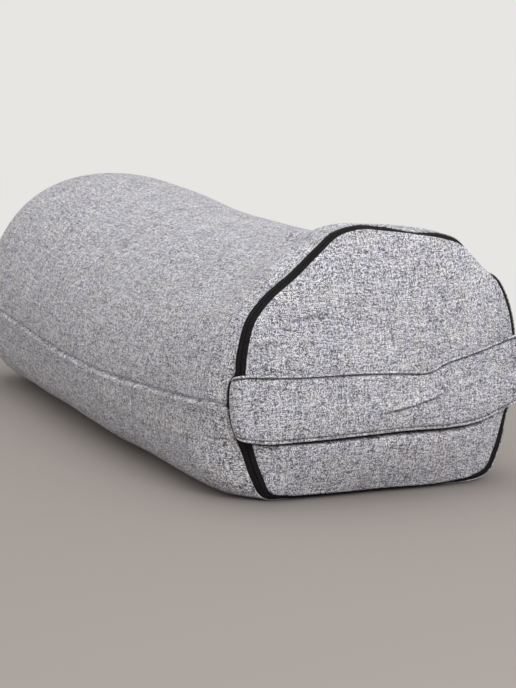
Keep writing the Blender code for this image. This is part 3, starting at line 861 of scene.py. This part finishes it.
def makePanel(name, ringsAt, isNear):
    girth = Girth(np.arange(panelLook["columns"]) / panelLook["columns"])
    shares = np.sin(np.linspace(0, math.pi / 2, panelLook["rings"]))
    innerShares = np.sin(np.linspace(0, math.pi / 2, panelLook["innerRings"]))
    outer = ringsAt(girth, shares, 0.0)
    inner = ringsAt(girth, innerShares, bolster["clothThickness"])
    edge = []
    if isNear:
        roll = panelLook["edgeRoll"]
        across = -zipper["width"] / 2 - zipper["edgeGap"]
        edge = [girth.onZip(across - zipper["edgeStep"], zipper["panelLip"] - panelLook["edgeDrop"]),
                girth.onZip(across, zipper["panelLip"] - roll),
                girth.onZip(across - zipper["rimGap"], zipper["panelLip"] - panelLook["edgeTuck"] * roll)]
        reach = np.linalg.norm(outer - outer[:1].mean(axis=1), axis=2)
        outer = closeToLedge(outer)
        moved = np.linalg.norm(outer - outer[:1].mean(axis=1), axis=2)
        share = np.stack([np.interp(now, old, shares) for now, old in zip(moved.T, reach.T)], axis=1)
        x, z = outer[:, :, 0], outer[:, :, 2]
        fade = np.clip((1 - share) / panelLook["rimFade"], 0, 1)
        fuller = panelLook["fuller"] * (1 - share ** panelLook["fullerPower"])
        waves = wavyNoise(outer.reshape(-1, 3), panelLook["waveSize"], 9.0).reshape(x.shape)
        waves = waves * panelLook["waveHeight"]
        creases = np.zeros(x.shape)
        for start, end, depth, width in panelCreases:
            amount = creaseAmount(x, z, start, end, width)
            above = z + panelLook["ridgeAway"] * width * mm
            ridge = creaseAmount(x, above, start, end, width * panelLook["ridgeWidth"])
            creases = creases + (amount - panelLook["ridgeShare"] * ridge) * depth * mm
        ledge = underHandle(x, z, fuller - outer[:, :, 1]) - slotSink(x, z, share, 0.0)
        outer[:, :, 1] += (creases - ledge - waves) * fade - fuller
        sunk = slotSink(inner[:, :, 0], inner[:, :, 2], innerShares[:, None], panelLook["innerEarly"])
        innerFuller = panelLook["fuller"] * (1 - innerShares ** panelLook["fullerPower"])
        inner[:, :, 1] += sunk * panelLook["innerSink"] - innerFuller[:, None]
    rings = np.array([*outer, *edge, *inner[::-1]])
    points = wrapRing(rings)
    uvs = points[:, :, [0, 2]].copy()
    x, z = points[:, :, 0], points[:, :, 2]
    # painted shade: the panel's cloth is painted darker in the slot under the handle and along its creases
    tucked = inSlot(x, z, 0.0, panelLook["shadeSoftness"])
    tucked = tucked * np.clip((panelLook["shadeRight"] - x) / panelLook["shadeFade"], 0, 1)
    for start, end, depth, width in panelCreases:
        amount = creaseAmount(x, z, start, end, width)
        tucked = np.maximum(tucked, panelLook["creaseShade"] * depth * amount)
    tucked = tucked * isNear
    closePoles(points, uvs)
    return clothGrid(name, points, uvs, tucked=tucked)


nearPanel = makePanel("nearEndPanel", Girth.nearPanel, True)
farPanel = makePanel("farEndPanel", Girth.farPanel, False)
for panel in (nearPanel, farPanel):
    panel.data.materials.append(cloth)
print("end panels done")

# The zip

def makeZip():
    girth = Girth(np.arange(zipper["columns"]) / zipper["columns"])
    half, top, ridge, slit = (zipper[name] for name in ("width", "tapeHeight", "ridgeHeight", "slitHeight"))
    half = half / 2
    side = [(-half - 0.0008, -0.0002), (-half - 0.0008, top * 0.6), (-half, top * 0.8), (-half + 0.0014, top),
            (-0.0026, top * 1.1), (-0.0021, top * 1.25), (-0.0016, ridge), (-0.0009, ridge * 1.05),
            (-0.0004, ridge * 0.8), (-0.0002, slit)]
    profile = side + [(-across, above) for across, above in side[::-1]]
    profile.append(profile[0])
    rings = []
    for across, above in profile:
        spread = np.clip(across / half, 0, 1) ** 2 * girth.bare
        rings.append(girth.onZip(across + spread, above))
    points = wrapRing(np.array(rings))
    lengths = np.append(girth.shares, 1.0) * girth.zipLength
    acrossLengths = arcLengths(np.array(profile))
    uvs = np.stack(np.broadcast_arrays(lengths[None, :], acrossLengths[:, None]), axis=2)
    return clothGrid("zipTapes", points, uvs)


zipTapes = makeZip()
zipTapes.data.materials.append(tape)
print("zip done")

# The carrying handle

handleCrease = np.array([  # distance along the handle and height above its lower edge, in mm
    (130, 15.0), (139, 17.0), (152, 19.0), (162, 20.8), (170, 23.6), (176, 24.9), (186, 28.6), (196, 31.5)])


def handleRowsAt(where=None, count=None):  # rows at distances along the handle, with its heading at each
    table = handleRows * mm
    knots = arcLengths(table[:, [1, 3]])
    if where is None:
        where = np.linspace(0, knots[-1], count)
    rows = smoothCurve(knots, table, where)
    rows[:, :3] += (handle["leftTuck"] * np.exp(-(where / handle["tuckReach"]) ** 4))[:, None]
    before, after = np.maximum(where - mm, 0.0), np.minimum(where + mm, knots[-1])
    return where, rows, headingBetween(knots, table[:, [1, 3]], before, after)


def handlePoint(row, heading, height, out):  # height above the lower edge, out from the middle layer
    lowX, midX, topX, forward, bottom, top = row
    v = height / (top - bottom)
    m = handle["middle"]
    x = lowX * (1 - v) * (1 - v / m) + midX * v * (1 - v) / (m * (1 - m)) + topX * v * (v - m) / (1 - m)
    out = out - handle["curl"] * curlShare(forward) * max(0.0, 1 - height / handle["curlReach"]) ** 2
    return (x - heading[1] * out, -forward - heading[0] * out, bottom + height)


def handleThickness(fromEdge, sink):  # half the thickness at a distance from the nearer long edge
    roundEdge, full = handle["edgeRound"], handle["halfThick"]
    if fromEdge < roundEdge:
        return full * handle["edgeShare"] * math.sqrt(max(0.0, 1 - (1 - fromEdge / roundEdge) ** 2))
    puff = 1 - handle["puffShare"] * math.exp(-((fromEdge - roundEdge) / handle["puffWidth"]) ** 2)
    return full * puff - sink * grooveAt(fromEdge)


def grooveAt(fromEdge):  # how much of the stitched groove there is at a distance from an edge
    return math.exp(-((fromEdge - handle["stitchInset"]) / handle["stitchHalfWidth"]) ** 2)


def creaseAt(s, level):  # distance above the crease and how much of it there is
    line = np.interp(s, handleCrease[:, 0] * mm, handleCrease[:, 1] * mm)
    start = np.clip((s - handle["creaseFrom"]) / handle["creaseFadeIn"], 0, 1)
    end = np.clip((handle["creaseTo"] - s) / handle["creaseFadeOut"], 0, 1)
    return level - line, start * end


def handleShade(s, level, width):  # the painted shade down in the stitched grooves and the crease
    groove = grooveAt(min(level, width - level))
    away, ends = creaseAt(s, level)
    crease = handle["creaseShade"] * ends * math.exp(-(away / handle["creaseWidth"]) ** 2)
    return max(groove * handle["lowShade" if level < width / 2 else "topShade"], crease)


def handleRelief(s, level, width):  # the crease and soft waves of the slack cloth, outwards
    away, ends = creaseAt(s, level)
    crease = -handle["creaseDepth"] * math.exp(-(away / handle["creaseWidth"]) ** 2)
    above = max(away, 0.0)
    fold = handle["foldHeight"] * min(1.0, above / handle["foldRise"])
    crease += fold * math.exp(-(above / handle["foldFall"]) ** 2)
    inside = min(1.0, level / handle["waveClear"]) * min(1.0, (width - level) / handle["waveClear"])
    place = Vector((s / handle["waveLength"], level / handle["waveWidth"], 3.3))
    waves = handle["waveHeight"] * noise.noise(place)
    return crease * ends + waves * max(inside, 0.0)


def makeHandle():
    where, rows, headings = handleRowsAt(count=handle["rows"])
    near = handle["closeLevels"]
    spread = np.linspace(0, 1, handle["spreadLevels"])[1:-1]
    rings, uvs, shades = [], [], []
    for s, row, heading in zip(where, rows, headings):
        width = row[5] - row[4]
        levels = list(near) + [near[-1] + (width - 2 * near[-1]) * k for k in spread]
        levels += [width - level for level in near[::-1]]
        front, back = [], []
        for level in levels:
            fromEdge, relief = min(level, width - level), handleRelief(s, level, width)
            sink = handle["stitchSink" if level < width / 2 else "topSink"]
            front.append((level, handleThickness(fromEdge, sink) + relief))
            back.append((level, -handleThickness(fromEdge, handle["backSink"]) + relief))
        ring = front + back[-2:0:-1] + front[:1]
        behind = len(ring) - len(front)
        shifts = [0.0] * len(front) + [handle["backMap"]] * behind
        rings.append([handlePoint(row, heading, level, out) for level, out in ring])
        uvs.append([(s, row[4] + level + shift) for (level, out), shift in zip(ring, shifts)])
        # painted shade in the grooves and the crease, on the front face only
        shades.append([handleShade(s, level, width) for level in levels] + [0.0] * behind)
    rings, uvs, shades = (np.array([numbers[0], *numbers, numbers[-1]]) for numbers in (rings, uvs, shades))
    closePoles(rings)
    return clothGrid("carryHandle", rings, uvs, tucked=shades)


def makeStitches():  # two rows of topstitching along each face of the handle
    total = arcLengths(handleRows[:, [1, 3]] * mm)[-1]
    starts = np.arange(handle["stitchFrom"], total - handle["stitchClear"], handle["stitchPitch"])
    bm = bmesh.new()
    for fromTop in (False, True):
        for side, sink in ((1, handle["topSink" if fromTop else "stitchSink"]), (-1, handle["backSink"])):
            ends = []
            for shift in (0.0, handle["stitchLength"]):
                where, rows, headings = handleRowsAt(where=starts + shift)
                line = []
                for s, row, heading in zip(where, rows, headings):
                    width = row[5] - row[4]
                    level = width - handle["stitchInset"] if fromTop else handle["stitchInset"]
                    lift = handle["threadRadius"] * handle["threadLift"]
                    out = side * (handleThickness(handle["stitchInset"], sink) + lift)
                    relief = handleRelief(s, level, width)
                    line.append(Vector(handlePoint(row, heading, level, out + relief)))
                ends.append(line)
            for start, end in zip(*ends):
                along = end - start
                turn = along.to_track_quat("X", "Z").to_matrix().to_4x4()
                radius = handle["threadRadius"]
                size = Matrix.Diagonal((along.length / 2, radius, radius, 1.0))
                place = Matrix.Translation((start + end) / 2 + offset)
                bmesh.ops.create_icosphere(bm, subdivisions=1, radius=1.0, matrix=place @ turn @ size)
    return meshObject("handleStitches", bm)


threadLook = {
    "dark": (0.030, 0.029, 0.033),
    "light": (0.085, 0.083, 0.09),
    "twistScale": 2600.0,
}


def threadMaterial():
    material, make, shader = newMaterial("greyThread", 0.75)
    place = make.node("ShaderNodeTexCoord").outputs["Object"]
    twist = make.noiseAt(place, threadLook["twistScale"], 2.0)
    colour = make.ramp(twist, [(0.3, threadLook["dark"]), (0.7, threadLook["light"])])
    make.feed(shader.inputs["Base Color"], colour)
    return material


strap = makeHandle()
strap.data.materials.append(cloth)
stitches = makeStitches()
stitches.data.materials.append(threadMaterial())
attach(stitches, "root")
print("handle done")

# What stands for what

for piece, node in ((body, "bolster_body"), (nearPanel, "end_panel_near"), (farPanel, "end_panel_far"),
                    (zipTapes, "zip_band"), (strap, "handle_strap")):
    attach(piece, "root")
    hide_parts(node)


# The floor, camera and light

studio = {
    "floorLeft": -1.9,
    "floorRight": 0.42,
    "floorFront": -2.2,
    "floorBack": 0.45,
    "floorColour": (0.31, 0.28, 0.262),
    "worldColour": (0.80, 0.79, 0.77),
    "worldStrength": 1.0,
}


def makeFloor():
    bm = bmesh.new()
    left, right, front, back = (studio["floor" + side] for side in ("Left", "Right", "Front", "Back"))
    size = Matrix.Diagonal(((right - left) / 2, (back - front) / 2, 1.0, 1.0))
    place = Matrix.Translation(((left + right) / 2, (front + back) / 2, 0.0))
    bmesh.ops.create_grid(bm, x_segments=2, y_segments=2, size=1.0, matrix=place @ size)
    floor = meshObject("floor", bm)
    material, _, shader = newMaterial("palePaper", 0.9)
    shader.inputs["Base Color"].default_value = (*studio["floorColour"], 1.0)
    floor.data.materials.append(material)


makeFloor()

cameraPlace = {
    "from": Vector((-0.90333, -1.83467, 0.45119)),
    "along": Vector((0.39362, 0.90526, -0.15988)),
    "focalPixels": 2600.0,
    "imageHeight": 688,
    "sensor": 36.0,
    "farthest": 50,
}


def makeCamera():
    data = bpy.data.cameras.new("photoCamera")
    data.sensor_fit = "VERTICAL"
    data.sensor_height = cameraPlace["sensor"]
    data.lens = cameraPlace["focalPixels"] * cameraPlace["sensor"] / cameraPlace["imageHeight"]
    data.clip_end = cameraPlace["farthest"]
    camera = newObject("photoCamera", data)
    camera.location = cameraPlace["from"] + offset
    camera.rotation_euler = cameraPlace["along"].to_track_quat("-Z", "Y").to_euler()
    bpy.context.scene.camera = camera


makeCamera()

lamps = (  # name, place, what it faces, width, height, watts, colour
    ("skyPanel", (0.1, 0.1, 2.1), (0.0, 0.0, 0.1), 1.6, 1.6, 11, (1.0, 0.99, 0.98)),
    ("frontPanel", (0.0, -2.2, 1.05), (0.0, -0.3, 0.1), 1.2, 1.0, 20.5, (0.99, 0.99, 1.0)),
)


def makeLamps():
    for name, place, faces, width, height, watts, colour in lamps:
        data = bpy.data.lights.new(name, "AREA")
        data.shape = "RECTANGLE"
        data.size, data.size_y = width, height
        data.energy = watts
        data.color = colour
        lamp = newObject(name, data)
        lamp.location = place
        lamp.rotation_euler = (Vector(faces) - Vector(place)).to_track_quat("-Z", "Y").to_euler()


makeLamps()
world = bpy.data.worlds.new("studio")
world.use_nodes = True
background = world.node_tree.nodes["Background"].inputs
background[0].default_value = (*studio["worldColour"], 1.0)
background[1].default_value = studio["worldStrength"]
bpy.context.scene.world = world
bpy.context.scene.view_settings.view_transform = "Standard"
print("studio done")
